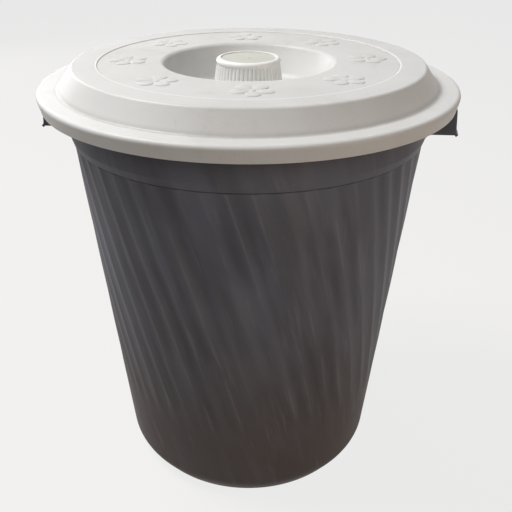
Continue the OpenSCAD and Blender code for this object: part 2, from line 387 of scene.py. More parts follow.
def mesh_from(name, points, faces):
    """A mesh of points in millimetres and faces between them."""
    mesh = bpy.data.meshes.new(name)
    mesh.from_pydata([Vector(p) * MM for p in points], [], faces)
    return mesh


def ring_size(r, around):
    """How many points a lathe makes of an outline's point at radius r."""
    return 1 if r < ON_AXIS else around


def lathe(name, outline, around):
    """Mesh of an outline (r, z) turned about Z. It runs from axis to axis or closes on itself."""
    points, rings = [], []
    for r, z in outline:
        count = ring_size(r, around)
        rings.append(range(len(points), len(points) + count))
        for i in range(count):
            a = 2 * math.pi * i / around
            points.append((r * math.cos(a), r * math.sin(a), z))
    pairs = list(zip(rings, rings[1:]))
    if len(rings[0]) > 1 and len(rings[-1]) > 1:
        pairs.append((rings[-1], rings[0]))
    faces = []
    for low, high in pairs:
        for i in range(around):
            j = (i + 1) % around
            if len(low) == 1:
                faces.append((low[0], high[i], high[j]))
            elif len(high) == 1:
                faces.append((low[i], low[j], high[0]))
            else:
                faces.append((low[i], low[j], high[j], high[i]))
    return mesh_from(name, points, faces)


def slab(name, outline, y_from, y_to, steps):
    """Mesh of an outline (r, z) turned about Z between two planes across Y."""
    points, faces, n = [], [], len(outline)
    for i in range(steps + 1):
        y = y_from + (y_to - y_from) * i / steps
        points += [(math.sqrt(r * r - y * y), y, z) for r, z in outline]
    for i in range(steps):
        for k in range(n):
            a, b = i * n + k, i * n + (k + 1) % n
            faces.append((a, b, b + n, a + n))
    faces.append(tuple(range(n)))
    faces.append(tuple(range(steps * n, steps * n + n)))
    return mesh_from(name, points, faces)


def mesh_of(name, shape):
    """A mesh of what a bmesh holds. The bmesh itself is freed."""
    mesh = bpy.data.meshes.new(name)
    shape.to_mesh(mesh)
    shape.free()
    return mesh


def joined_meshes(name, meshes):
    """One mesh of several, each closed by itself."""
    shape = bmesh.new()
    for mesh in meshes:
        shape.from_mesh(mesh)
    return mesh_of(name, shape)


def crossed_boxes(name, size, middle_z):
    """Two boxes of one size that cross at right angles on the axis."""
    boxes = []
    for turn in (0, math.pi / 2):
        shape = bmesh.new()
        place = Matrix.Rotation(turn, 4, "Z") @ Matrix.Translation((0, 0, middle_z * MM))
        stretch = Matrix.Diagonal((*(Vector(size) * MM), 1))
        bmesh.ops.create_cube(shape, size=1, matrix=place @ stretch)
        boxes.append(mesh_of(name, shape))
    return boxes


def settled(obj):
    """The plain mesh that the object's modifiers give. The object itself is removed."""
    view = bpy.context.evaluated_depsgraph_get()
    mesh = bpy.data.meshes.new_from_object(obj.evaluated_get(view))
    bpy.data.objects.remove(obj)
    return mesh


def scratch_object(mesh):
    """An object that carries a mesh while modifiers work on it."""
    obj = bpy.data.objects.new(mesh.name + "_raw", mesh)
    bpy.context.scene.collection.objects.link(obj)
    return obj


def combined(operation, meshes):
    """The first closed mesh with the others added to it (UNION) or cut from it (DIFFERENCE)."""
    base, *others = [scratch_object(mesh) for mesh in meshes]
    for other in others:
        boolean = base.modifiers.new("combined", "BOOLEAN")
        boolean.operation = operation
        boolean.solver = "EXACT"
        boolean.object = other
    bpy.context.view_layer.update()
    mesh = settled(base)
    for other in others:
        bpy.data.objects.remove(other)
    return mesh


def bevelled(mesh, width, sharp=35):
    """The mesh with each edge rounded that turns by more than the angle sharp, in degrees."""
    obj = scratch_object(mesh)
    bevel = obj.modifiers.new("bevel", "BEVEL")
    bevel.width = width * MM
    bevel.segments = 2
    bevel.limit_method = "ANGLE"
    bevel.angle_limit = math.radians(sharp)
    bevel.use_clamp_overlap = True
    bpy.context.view_layer.update()
    return settled(obj)


# Geometry trees

# Moves the start of each turn off a point of the form, where rounding could go either way.
OFF_THE_SEAM = 1e-4


def new_tree(name, inputs):
    """A geometry tree with named inputs (name, type, value), and its plan and input node."""
    tree = bpy.data.node_groups.new(name, "GeometryNodeTree")
    tree.interface.new_socket("Geometry", in_out="INPUT", socket_type="NodeSocketGeometry")
    for label, kind, value in inputs:
        socket = tree.interface.new_socket(label, in_out="INPUT", socket_type=kind)
        if value is not None:
            socket.default_value = value
    tree.interface.new_socket("Geometry", in_out="OUTPUT", socket_type="NodeSocketGeometry")
    plan = Plan(tree)
    return tree, plan, plan.node("NodeGroupInput")


def end_tree(plan, geometry, material):
    """The last nodes of each tree: real geometry, smooth, with its material."""
    real = plan.node("GeometryNodeRealizeInstances", inputs={0: geometry})
    smooth = plan.node("GeometryNodeSetShadeSmooth", inputs={0: real})
    dressed = plan.node(
        "GeometryNodeSetMaterial", inputs={"Geometry": smooth, "Material": material}
    )
    plan.node("NodeGroupOutput", inputs={0: dressed})


def grown(mesh, tree, values):
    """The mesh that a tree makes of this one, with the tree's named inputs set."""
    obj = scratch_object(mesh)
    modifier = obj.modifiers.new(tree.name, "NODES")
    modifier.node_group = tree
    for item in tree.interface.items_tree:
        if item.in_out == "INPUT" and item.name in values:
            modifier[item.identifier] = values[item.name]
    bpy.context.view_layer.update()
    return settled(obj)


def relief_tree():
    """Turns a lathed form into a fluted or ribbed one, along spirals.

    The attribute lift weakens the relief at a point: 0 leaves it whole and 1 leaves the form plain.
    A depth above 0 sinks hollows between sharp ridges, and one below 0 raises round ribs.
    """
    tree, plan, given = new_tree(
        "spiral_relief",
        [
            ("Count", "NodeSocketInt", 50),
            ("Depth", "NodeSocketFloat", 0.001),
            ("Twist", "NodeSocketFloat", 0.0),
            ("First", "NodeSocketFloat", 0.0),
            ("Upper End", "NodeSocketFloat", 1.0),
            ("Lower End", "NodeSocketFloat", 0.0),
            ("Material", "NodeSocketMaterial", None),
        ],
    )
    place = plan.node("GeometryNodeInputPosition")
    x, y, z = plan.split(place)
    lift = plan.node(
        "GeometryNodeInputNamedAttribute", {"data_type": "FLOAT"}, {"Name": "lift"}
    )
    turns = plan.math("ARCTAN2", y, x) / (2 * math.pi)
    share = plan.math("FRACT", turns * given.out("Count") + OFF_THE_SEAM)
    hollow = 1 - (2 * share - 1) ** 2
    depth = plan.math("MAXIMUM", hollow - lift, 0) * given.out("Depth")
    outwards = plan.vector("NORMALIZE", plan.joined(x, y, 0))
    inset = plan.vector("MULTIPLY", outwards, plan.joined(depth, depth, depth))
    sunk = plan.vector("SUBTRACT", place, inset)
    fall = (given.out("Upper End") - z) / (given.out("Upper End") - given.out("Lower End"))
    spun = plan.turned(sunk, given.out("Twist") * fall + given.out("First"))
    moved = plan.node(
        "GeometryNodeSetPosition",
        inputs={"Geometry": given.out("Geometry"), "Position": spun},
    )
    end_tree(plan, moved, given.out("Material"))
    return tree


def lathe_with_relief(name, outline, around, lift, tree, values):
    """A lathed form with its relief.

    The function lift gives the tree's attribute lift at a point of the outline.
    """
    mesh = lathe(name, outline, around)
    lifts = []
    for p in outline:
        lifts += [lift(p)] * ring_size(p.x, around)
    mesh.attributes.new("lift", "FLOAT", "POINT").data.foreach_set("value", lifts)
    return grown(mesh, tree, values)


def flower_tree():
    """Petals round a middle, and such flowers round a ring."""
    tree, plan, given = new_tree(
        "ring_of_flowers",
        [
            ("Petals", "NodeSocketInt", 5),
            ("Flowers", "NodeSocketInt", 8),
            ("Ring Radius", "NodeSocketFloat", 0.1),
            ("First", "NodeSocketFloat", 0.0),
            ("Height", "NodeSocketFloat", 0.0),
            ("Eye Radius", "NodeSocketFloat", 0.003),
            ("Eye Height", "NodeSocketFloat", 0.001),
            ("Material", "NodeSocketMaterial", None),
        ],
    )
    index = plan.node("GeometryNodeInputIndex")

    def ring(shape, count, radius, first, height):
        """Even copies of a shape round a circle, each turned to face outwards."""
        angle = index * (2 * math.pi) / count + first
        spots = plan.node(
            "GeometryNodePoints",
            inputs={
                "Count": count,
                "Position": plan.joined(
                    plan.math("COSINE", angle) * radius,
                    plan.math("SINE", angle) * radius,
                    height,
                ),
            },
        )
        return plan.node(
            "GeometryNodeInstanceOnPoints",
            inputs={"Points": spots, "Instance": shape, "Rotation": plan.joined(0, 0, angle)},
        )

    petals = ring(given.out("Geometry"), given.out("Petals"), 0, 0, 0)
    ball = plan.node(
        "GeometryNodeMeshUVSphere",
        inputs={"Segments": 24, "Rings": 12, "Radius": given.out("Eye Radius")},
    )
    flatter = plan.joined(1, 1, given.out("Eye Height") / given.out("Eye Radius"))
    eye = plan.node(
        "GeometryNodeTransform", inputs={"Geometry": ball, "Scale": flatter}
    )
    flower = plan.node("GeometryNodeJoinGeometry", inputs={0: petals})
    plan.tree.links.new(eye.socket, flower.socket.node.inputs[0])
    flowers = ring(
        flower,
        given.out("Flowers"),
        given.out("Ring Radius"),
        given.out("First"),
        given.out("Height"),
    )
    end_tree(plan, flowers, given.out("Material"))
    return tree


# Materials


def new_material(name):
    """A material's plan and its principled shader."""
    material = bpy.data.materials.new(name)
    material.use_nodes = True
    plan = Plan(material.node_tree)
    shader = plan.node("ShaderNodeBsdfPrincipled")
    plan.node("ShaderNodeOutputMaterial", inputs={"Surface": shader})
    return material, plan, shader.socket.node


def feed(plan, shader, name, value):
    """A wire or a constant to one socket of the shader."""
    if isinstance(value, Wire):
        plan.tree.links.new(value.socket, shader.inputs[name])
    else:
        shader.inputs[name].default_value = value


def mixed(plan, share, a, b):
    """Colour a turning into colour b."""
    return plan.node(
        "ShaderNodeMix", {"data_type": "RGBA"}, {0: share, 6: a, 7: b}, output=2
    )


def layered(plan, colour, layers):
    """A colour with others laid over it one after another, as (share, colour) pairs."""
    for share, over in layers:
        colour = mixed(plan, share, colour, over)
    return colour


def noise(plan, vector, scale, detail=3.0):
    """Soft noise round 0.5."""
    return plan.node(
        "ShaderNodeTexNoise",
        inputs={"Vector": vector, "Scale": scale, "Detail": detail, "Roughness": 0.55},
    )


def streaks(plan, place, stretch, detail, low, high):
    """Noise drawn out by a stretch, as a share that rises from 0 at low to 1 at high."""
    drawn = noise(plan, plan.vector("MULTIPLY", place, stretch), 1.0, detail)
    return plan.smooth(drawn, low, high)


def near(plan, value, middle, reach):
    """1 at the middle, falling smoothly to 0 at the reach to either side, in millimetres."""
    return 1 - plan.rise(plan.math("ABSOLUTE", value - middle * MM), 0, reach)


def bumped(plan, height, distance):
    """The normal of a surface that a height of 1 raises by a distance in metres."""
    return plan.node(
        "ShaderNodeBump",
        inputs={"Height": height, "Distance": distance, "Strength": 0.8},
    )


# The bin's colours: the plastic's two tones, then what is laid over them
CHARCOAL = (0.112, 0.115, 0.143, 1)
PALER_CHARCOAL = (0.142, 0.146, 0.172, 1)
BLOTCH = (0.065, 0.059, 0.066, 1)
# Painted reflection: the warm brown of the floor, laid over the bin's lower part.
PAINTED_FLOOR_REFLECTION = (0.080, 0.061, 0.052, 1)
VALLEY_SHADE = (0.045, 0.041, 0.045, 1)
DUSTY_SMEAR = (0.20, 0.19, 0.20, 1)
RUBBED_STREAK = (0.22, 0.215, 0.24, 1)
# Pale ridges: part wear, part a painted highlight along the crests.
WORN_AND_GLINTING_RIDGE = (0.25, 0.245, 0.26, 1)
BIN_SPECK = (0.25, 0.24, 0.23, 1)
# Painted shadow under the collar's step.
COLLAR_STEP_SHADOW = (0.012, 0.011, 0.012, 1)


def bin_plastic():
    """Charcoal moulded plastic: ridges pale with wear and a painted highlight, smears along the
    flutes, painted shade in the flutes and under the collar, and a painted floor reflection at the
    foot.
    """
    material, plan, shader = new_material("bin_plastic")
    place = plan.node("ShaderNodeTexCoord", output="Object")
    z = plan.split(place)[2]

    # The flutes unwound, so that what follows them runs straight up
    fall = (COLLAR_Z * MM - z) / ((COLLAR_Z - FLUTE_START) * MM)
    unwound = plan.turned(place, (fall * FLUTE_TWIST + FLUTE_FIRST) * -1)
    share = plan.step_share(unwound, FLUTES)
    ridge = plan.math("ABSOLUTE", 2 * share - 1) ** 8

    # The wall's outside, the flutes' stretch of it and the painted shadow line under the collar's
    # step
    proud = plan.across(place) - z * WALL_SLOPE
    outside = plan.rise(proud, WALL_BASE_R - WALL_T * 0.8, WALL_BASE_R - WALL_T * 0.55)
    run_out = plan.rise(z, FLUTE_START, FLUTE_START + FLUTE_RUN_OUT)
    fluted = outside * run_out * (1 - plan.rise(z, COLLAR_Z - 2, COLLAR_Z))
    # A painted shadow: a thin dark band just under the collar's step.
    step_shadow_low = plan.rise(z, COLLAR_Z - 2.2, COLLAR_Z - 1.0)
    step_shadow_high = plan.rise(z, COLLAR_Z - 0.1, COLLAR_Z + 0.1)
    line = outside * step_shadow_low * (1 - step_shadow_high)

    # Wear and dirt, with painted shade, highlights, shadow and reflection among them
    # Pale ridges, part wear and part a painted highlight on the crests.
    ridge_wear_and_glint = streaks(plan, unwound, (60, 60, 7), 3.0, 0.42, 0.66) * ridge * fluted
    valley_shade_streaks = streaks(plan, unwound, (22, 22, 6), 2.0, 0.36, 0.6) * fluted
    # Painted shade in the flutes' hollows, in streaks.
    valley = plan.smooth(share, 0.12, 0.5) * (1 - plan.smooth(share, 0.6, 0.96)) * valley_shade_streaks
    blotch = streaks(plan, unwound, (16, 16, 5), 3.0, 0.4, 0.64)
    smear = streaks(plan, unwound, (30, 30, 4), 4.0, 0.48, 0.72)
    rub = streaks(plan, unwound, (110, 110, 9), 3.0, 0.56, 0.74)
    scratch = streaks(plan, unwound, (420, 420, 12), 2.0, 0.6, 0.75)
    cloud = noise(plan, place, 7.0, 2.0)
    speck = plan.smooth(noise(plan, place, 900.0, 1.0), 0.68, 0.76)
    # Painted reflection of the floor: brown that grows towards the foot, mottled by the cloud.
    painted_reflection = (1 - plan.rise(z, 30, 330)) * (0.5 + cloud * 0.6)

    layers = [
        (blotch * 0.5, BLOTCH),
        (painted_reflection, PAINTED_FLOOR_REFLECTION),
        (valley * 0.38, VALLEY_SHADE),
        (smear * outside * 0.3, DUSTY_SMEAR),
        (rub * outside * 0.22, RUBBED_STREAK),
        (ridge_wear_and_glint * 0.42, WORN_AND_GLINTING_RIDGE),
        (speck * 0.3, BIN_SPECK),
        (line * 0.6, COLLAR_STEP_SHADOW),
    ]
    plastic = mixed(plan, cloud, CHARCOAL, PALER_CHARCOAL)
    feed(plan, shader, "Base Color", layered(plan, plastic, layers))
    feed(plan, shader, "Roughness", 0.42 + cloud * 0.1 + smear * 0.12 + ridge_wear_and_glint * 0.1 + painted_reflection * 0.1)
    grain = noise(plan, place, 260.0, 2.0)
    feed(plan, shader, "Normal", bumped(plan, grain * 0.4 - scratch * 0.4, 0.00012))
    feed(plan, shader, "Specular IOR Level", 0.1)
    return material


# The pale plastics' colours: two tones of each, then what is laid over them
LID_GREY = (0.61, 0.605, 0.59, 1)
DARKER_LID_GREY = (0.565, 0.555, 0.54, 1)
KNOB_WHITE = (0.88, 0.88, 0.855, 1)
DARKER_KNOB_WHITE = (0.85, 0.845, 0.82, 1)
DISC_CREAM = (0.55, 0.54, 0.485, 1)
DARKER_DISC_CREAM = (0.50, 0.49, 0.43, 1)
HANDLED = (0.42, 0.40, 0.36, 1)
# Painted shade for corners, creases and the hollows between ribs.
PAINTED_SHADE_COLOUR = (0.27, 0.25, 0.22, 1)
# Painted light: a highlight on the ring step, and a lighter flat edge and well.
PAINTED_LIGHT_COLOUR = (0.86, 0.86, 0.85, 1)
PALE_SPECK = (0.25, 0.23, 0.20, 1)


def pale_plastic(name, light, shade, roughness, dirt, painted_shade=None, painted_light=None):
    """Pale moulded plastic with a soft mottle, fine scratches, specks and a little dirt.

    Painted shade and painted light are functions of the plan and the place. They give the shares of
    the shade painted into the piece's corners and between its ribs, and of the light painted on its
    edges and in its well.
    """
    material, plan, shader = new_material(name)
    place = plan.node("ShaderNodeTexCoord", output="Object")
    cloud = noise(plan, place, 9.0)
    mottle = noise(plan, place, 60.0)
    speck = plan.smooth(noise(plan, place, 700.0, 1.0), 0.7, 0.76)
    scratch = streaks(plan, place, (300, 14, 40), 1.0, 0.66, 0.74)
    layers = [(plan.smooth(mottle * cloud, 0.28, 0.45) * dirt, HANDLED)]
    # Painted shade in corners and between ribs.
    if painted_shade:
        layers.append((painted_shade(plan, place) * (0.6 + mottle * 0.8), PAINTED_SHADE_COLOUR))
    # Painted light on edges and in the well.
    if painted_light:
        layers.append((painted_light(plan, place), PAINTED_LIGHT_COLOUR))
    layers.append((speck * 0.35, PALE_SPECK))
    plastic = mixed(plan, plan.smooth(cloud, 0.3, 0.7), light, shade)
    feed(plan, shader, "Base Color", layered(plan, plastic, layers))
    feed(plan, shader, "Roughness", roughness + mottle * 0.14 + scratch * 0.12)
    grain = noise(plan, place, 420.0, 2.0)
    feed(plan, shader, "Normal", bumped(plan, grain * 0.4 - scratch * 0.5, 0.00008))
    feed(plan, shader, "Specular IOR Level", 0.3)
    return material


def lid_painted_shade(plan, place):
    """Painted shade at the crown's foot, at the ring step and in the well's corner."""
    across = plan.across(place)
    foot = near(plan, across, CROWN_BASE_R, 4) * 0.35
    step = near(plan, across, RING_R - RING_STEP * 1.2, 1.2) * 0.3
    well = near(plan, across, WELL_FLOOR_R - 3, 9) * 0.25
    return foot + step + well


def lid_painted_light(plan, place):
    """A painted highlight on the ring step, and painted light on the flat edge and in the well."""
    across = plan.across(place)
    z = plan.split(place)[2]
    ring = near(plan, across, RING_R + 0.6, 1.2) * 0.8
    out = plan.rise(across, CROWN_BASE_R + 1, CROWN_BASE_R + 5)
    up = plan.rise(z, EDGE_Z - LID_EDGE_R, EDGE_Z - 0.5)
    well = 1 - plan.rise(across, WELL_R - WELL_LIP_R, WELL_R)
    return ring + out * up * 0.22 + well * 0.1


def knob_painted_shade(plan, place):
    """Painted shade between the knob's ribs."""
    z = plan.split(place)[2]
    valley = plan.math("ABSOLUTE", 2 * plan.step_share(place, RIBS) - 1) ** 3
    ribbed = 1 - plan.rise(z, BAND_Z - 1.5, BAND_Z)
    outside = plan.rise(plan.across(place), RIB_TOP_R - KNOB_T, RIB_TOP_R - 0.5)
    return valley * ribbed * outside * 0.35


# The screw's and the washer's colours
DULL_ZINC = (0.50, 0.50, 0.52, 1)
BRIGHT_ZINC = (0.66, 0.66, 0.66, 1)


def zinc_steel():
    """Zinc-plated steel with turning marks."""
    material, plan, shader = new_material("screw_steel")
    place = plan.node("ShaderNodeTexCoord", output="Object")
    z = plan.split(place)[2]
    turning = noise(plan, plan.joined(plan.across(place) * 4000, z * 4000, 0), 1.0, 2.0)
    cloud = noise(plan, place, 300.0, 2.0)
    feed(plan, shader, "Base Color", mixed(plan, cloud, DULL_ZINC, BRIGHT_ZINC))
    feed(plan, shader, "Metallic", 1.0)
    feed(plan, shader, "Roughness", 0.28 + turning * 0.2)
    feed(plan, shader, "Normal", bumped(plan, turning, 0.00003))
    return material


# The bin


def spread(low, high, steps):
    """Even values from low up to, but not at, high."""
    return [low + (high - low) * i / steps for i in range(steps)]


def bin_outline():
    """The bin's outline (r, z) from the axis below the floor round to the axis above it.

    It comes in three parts: the base, the fluted wall, and the rim with all of the inside. The
    corner that is cut off where two parts meet only gives the arc beside it a direction.
    """
    floor_z = FOOT_H + FLOOR_T
    under_z = BIN_H - RIM_T
    base = rounded(
        [
            (0, FOOT_H),
            (FOOT_HOLLOW_R - FOOT_H, FOOT_H, FOOT_H / 2),
            (FOOT_HOLLOW_R, 0, FOOT_HOLLOW_EDGE_R),
            (FOOT_R, 0, FOOT_EDGE_R),
            (wall_r(HEEL_H), HEEL_H, HEEL_EDGE_R),
            (wall_r(FLUTE_START), FLUTE_START),
        ],
        steps=8,
    )[:-1]
    run_out_z = FLUTE_START + FLUTE_RUN_OUT
    heights = (
        spread(2 * HEEL_H, FLUTE_START, 4)
        + spread(FLUTE_START, run_out_z, 12)
        + spread(run_out_z, COLLAR_Z, 22)
        + [COLLAR_Z]
    )
    wall = [Vector((wall_r(z), z)) for z in heights]
    plain = [(FOOT_R, 0), (wall_r(HEEL_H), HEEL_H), (WALL_TOP_R, BIN_H)]
    foot, heel, top = shifted([Vector(p) for p in plain], WALL_T)
    floor_edge = foot.lerp(heel, (floor_z - foot.y) / (heel.y - foot.y))
    rim = rounded(
        [
            (wall[-1].x, COLLAR_Z),
            (COLLAR_R, COLLAR_Z, COLLAR_EDGE_R),
            (COLLAR_R + COLLAR_SPREAD, GRIP_Z, RIM_COVE),
            (COLLAR_R + COLLAR_SPREAD + COLLAR_STEP, under_z, RIM_COVE),
            (RIM_R - RIM_T, under_z, RIM_T / 4),
            (RIM_R - RIM_T, RIM_EDGE_Z, RIM_EDGE_R),
            (RIM_R, RIM_EDGE_Z, RIM_EDGE_R),
            (RIM_R, BIN_H, RIM_T),
            (top.x, BIN_H, MOUTH_EDGE_R),
            (heel.x, heel.y, HEEL_EDGE_R - WALL_T),
            (floor_edge.x, floor_z, FLOOR_EDGE_R),
            (0, floor_z),
        ]
    )[1:]
    return base, wall, rim


def bin_shell(material, tree):
    """The fluted bin with its collar, rim, floor and foot, in one closed form."""
    base, wall, rim = bin_outline()
    values = {
        "Count": FLUTES,
        "Depth": FLUTE_DEPTH * MM,
        "Twist": FLUTE_TWIST,
        "First": FLUTE_FIRST,
        "Upper End": COLLAR_Z * MM,
        "Lower End": FLUTE_START * MM,
        "Material": material,
    }

    def lift(p):
        return max(0, 1 - (p.y - FLUTE_START) / FLUTE_RUN_OUT) if p in wall else 1

    around = FLUTES * FLUTE_POINTS
    fluted = lathe_with_relief("bin_shell", base + wall + rim, around, lift, tree, values)
    piece = finished("bin_shell", fluted, material, "bin")
    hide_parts("bin_body")


def pocket_grips(material):
    """The two moulded grips under the rim, each a leaning face between two end webs."""
    face_r = GRIP_R + GRIP_LEAN
    lip_r = face_r + GRIP_LIP - HAIR
    line = rounded(
        [
            (RIM_MID_R, GRIP_TOP_Z),
            (GRIP_R, GRIP_TOP_Z, GRIP_T + 1),
            (face_r, GRIP_Z + GRIP_T, GRIP_T),
            (lip_r, GRIP_Z),
        ]
    )
    back = shifted(line, -GRIP_T)
    face = line + back[::-1]
    top_z = GRIP_TOP_Z - GRIP_T / 2
    neck_in = RIM_R - RIM_T + NECK_INSET
    neck_out = RIM_R - NECK_INSET
    neck_z = RIM_EDGE_Z + NECK_RISE
    neck = [(neck_in, top_z), (neck_out, top_z), (neck_out, neck_z), (neck_in, neck_z)]
    rim_z = BIN_H - RIM_T / 2
    web = rounded(
        [
            (COLLAR_R - GRIP_WEB_SINK, COLLAR_Z),
            (COLLAR_R + GRIP_WEB_FOOT, COLLAR_Z),
            (COLLAR_R + COLLAR_SPREAD, GRIP_Z, RIM_COVE),
            (lip_r - GRIP_T / 2, GRIP_Z),
            (face_r - GRIP_T / 2, GRIP_Z + GRIP_T),
            (GRIP_R - GRIP_T / 2, top_z),
            (RIM_MID_R, top_z),
            (RIM_MID_R, rim_z),
            (COLLAR_R - GRIP_WEB_SINK, rim_z),
        ]
    )
    web_in = GRIP_HALF_W - GRIP_T
    web_out = GRIP_HALF_W - GRIP_WEB_SHORT
    neck_end = GRIP_HALF_W - NECK_SHORT
    parts = [
        slab("grip_face", face, -GRIP_HALF_W, GRIP_HALF_W, steps=24),
        slab("grip_neck", neck, -neck_end, neck_end, steps=24),
        slab("grip_web", web, web_in, web_out, steps=2),
        slab("grip_web", web, -web_in, -web_out, steps=2),
    ]
    one = bevelled(combined("UNION", parts), GRIP_EDGE_R)
    other = one.copy()
    other.transform(Matrix.Rotation(math.pi, 4, "Z"))
    mesh = joined_meshes("pocket_grips", [one, other])
    piece = finished("pocket_grips", mesh, material, "bin")
    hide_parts("bin_body")


# The lid


def lid_shell(material):
    """The lid: skirt, flat edge, raised crown, ring step and well, with the screw's hole."""
    top = rounded(
        [
            (WASHER_HOLE_R, WELL_Z),
            (WELL_FLOOR_R, WELL_Z, WELL_CORNER_R),
            (WELL_R, WELL_TOP_Z, WELL_LIP_R),
            (RING_R - RING_STEP, WELL_TOP_Z, RING_EDGE_R),
            (RING_R, CROWN_Z, RING_EDGE_R),
            (CROWN_TOP_R, CROWN_Z, LID_EDGE_R),
            (CROWN_BASE_R, EDGE_Z, LID_EDGE_R),
            (LID_R - HAIR, EDGE_Z, LID_EDGE_R),
            (SKIRT_R, SKIRT_Z),
        ],
        steps=8,
    )
    under = shifted(top, -LID_T)
    outline = top[:-1] + round_end(top[-1], under[-1]) + under[-2::-1]
    mesh = lathe("lid_shell", outline, around=360)
    piece = finished("lid_shell", mesh, material, "lid_set")
    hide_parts("lid")


def petal_mesh():
    """One petal: a round end drawn in to a point at the flower's middle, with a domed face."""
    dome_r = (PETAL_R**2 + PETAL_FALL**2) / (2 * PETAL_FALL)
    side = math.acos(PETAL_R / PETAL_REACH)
    steps, rings = 28, 6
    outline = [Vector((0, 0))]
    for i in range(steps + 1):
        a = (math.pi - side) * (2 * i / steps - 1)
        x = PETAL_REACH + PETAL_R * math.cos(a)
        outline.append(Vector((x, PETAL_R * math.sin(a))))
    centre = Vector((PETAL_REACH, 0))

    def height(p):
        away = (p - centre).length
        return PETAL_H - dome_r + math.sqrt(dome_r**2 - away**2)

    n = len(outline)
    points = [(PETAL_REACH, 0, PETAL_H)]
    for k in range(1, rings + 1):
        reach = k / rings
        for p in outline:
            q = centre + (p - centre) * reach
            drop = PETAL_EDGE_DROP if k == rings else 0
            points.append((q.x, q.y, height(q) - drop))
    points += [(p.x, p.y, PETAL_ROOT_Z) for p in outline]
    points.append((PETAL_REACH, 0, PETAL_ROOT_Z))
    faces = [(0, 1 + i, 1 + (i + 1) % n) for i in range(n)]
    for k in range(rings):
        a, b = 1 + k * n, 1 + (k + 1) * n
        faces += [(a + i, b + i, b + (i + 1) % n, a + (i + 1) % n) for i in range(n)]
    low = 1 + rings * n
    faces += [(low + i, len(points) - 1, low + (i + 1) % n) for i in range(n)]
    return mesh_from("petal", points, faces)


def lid_flowers(material):
    """The ring of raised flowers round the well."""
    values = {
        "Petals": PETALS,
        "Flowers": FLOWERS,
        "Ring Radius": FLOWER_RING_R * MM,
        "First": FLOWER_FIRST,
        "Height": WELL_TOP_Z * MM,
        "Eye Radius": EYE_R * MM,
        "Eye Height": EYE_H * MM,
        "Material": material,
    }
    mesh = grown(petal_mesh(), flower_tree(), values)
    piece = finished("lid_flowers", mesh, material, "lid_set", crease=50)
    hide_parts("lid")


# The knob


def knob_shell(material, tree):
    """The hollow ribbed knob, with its post and webs inside."""
    radii = spread(KNOB_FOOT_R, RIB_TOP_R, 10) + [RIB_TOP_R]
    heights = spread(KNOB_Z + KNOB_CHAMFER_H, BAND_Z, 10) + [BAND_Z]
    ribbed = [Vector(p) for p in zip(radii, heights)]
    top = rounded(
        [
            (RIB_TOP_R, BAND_Z),
            (KNOB_TOP_R, BAND_Z, BAND_EDGE_R),
            (KNOB_TOP_R, KNOB_TOP_Z, KNOB_EDGE_R),
            (CAP_R + CAP_GAP, KNOB_TOP_Z, CAP_EDGE_R),
            (CAP_R + CAP_GAP, CAP_Z),
            (0, CAP_Z),
        ]
    )[1:]
    inside = [
        Vector((0, KNOB_ROOF_Z)),
        Vector((RIB_TOP_R - KNOB_T, KNOB_ROOF_Z)),
        Vector((KNOB_FOOT_R - KNOB_T, KNOB_Z)),
        Vector((KNOB_FOOT_R - KNOB_CHAMFER_W, KNOB_Z)),
    ]
    values = {
        "Count": RIBS,
        "Depth": -RIB_H * MM,
        "Material": material,
    }

    def lift(p):
        return 0 if p in ribbed and p is not ribbed[0] else 1

    around = RIBS * RIB_POINTS
    outline = inside + ribbed + top
    ribs = lathe_with_relief("knob_shell", outline, around, lift, tree, values)
    low = KNOB_Z + POST_GAP
    high = KNOB_ROOF_Z + ROOF_SINK
    corners = [(PILOT_R, low), (POST_R, low), (POST_R, high), (PILOT_R, high)]
    post = lathe("knob_post", corners, around=64)
    web_h = KNOB_WEB_H + ROOF_SINK
    web_size = (2 * (RIB_TOP_R - KNOB_T), KNOB_WEB_T, web_h)
    webs = crossed_boxes("knob_web", web_size, high - web_h / 2)
    whole = joined_meshes("knob_shell", [ribs, post, *webs])
    piece = finished("knob_shell", whole, material, "lid_set")
    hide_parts("knob")


def knob_disc(material):
    """The disc let into the knob, with its nub."""
    outline = rounded(
        [
            (0, CAP_Z),
            (CAP_R, CAP_Z, CAP_FOOT_EDGE_R),
            (CAP_R, CAP_TOP_Z, CAP_EDGE_R),
            (NUB_R + NUB_H, CAP_TOP_Z, CAP_EDGE_R),
            (NUB_R, CAP_TOP_Z + NUB_H, NUB_EDGE_R),
            (0, CAP_TOP_Z + NUB_H),
        ]
    )
    mesh = lathe("knob_disc", outline, around=128)
    piece = finished("knob_disc", mesh, material, "lid_set")
    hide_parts("knob_cap")


# The screw


def screw_and_washer(material):
    """The screw under the lid's well, with its cross recess, and its washer."""
    head_z = WASHER_Z - SCREW_HEAD_H
    outline = rounded(
        [
            (0, head_z),
            (SCREW_HEAD_R, head_z, SCREW_HEAD_EDGE_R),
            (SCREW_HEAD_R, WASHER_Z, SCREW_SEAT_EDGE_R),
            (SCREW_R, WASHER_Z),
            (SCREW_R, WASHER_Z + SCREW_L - SCREW_POINT_H),
            (0, WASHER_Z + SCREW_L),
        ]
    )
    plain = lathe("screw", outline, around=48)
    mesh = combined("DIFFERENCE", [plain, *crossed_boxes("recess", RECESS, head_z)])
    piece = finished("screw", mesh, material, "lid_set", crease=30)
    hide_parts("knob_screw")
    outline = rounded(
        [
            (WASHER_HOLE_R, WASHER_Z, WASHER_HOLE_EDGE_R),
            (WASHER_R, WASHER_Z, WASHER_EDGE_R),
            (WASHER_R, WASHER_TOP_Z, WASHER_EDGE_R),
            (WASHER_HOLE_R, WASHER_TOP_Z, WASHER_HOLE_EDGE_R),
        ],
        closed=True,
        steps=4,
    )
    mesh = lathe("washer", outline, around=96)
    piece = finished("washer", mesh, material, "lid_set", crease=30)
    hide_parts("knob_washer")


# The studio, whose sizes are in metres

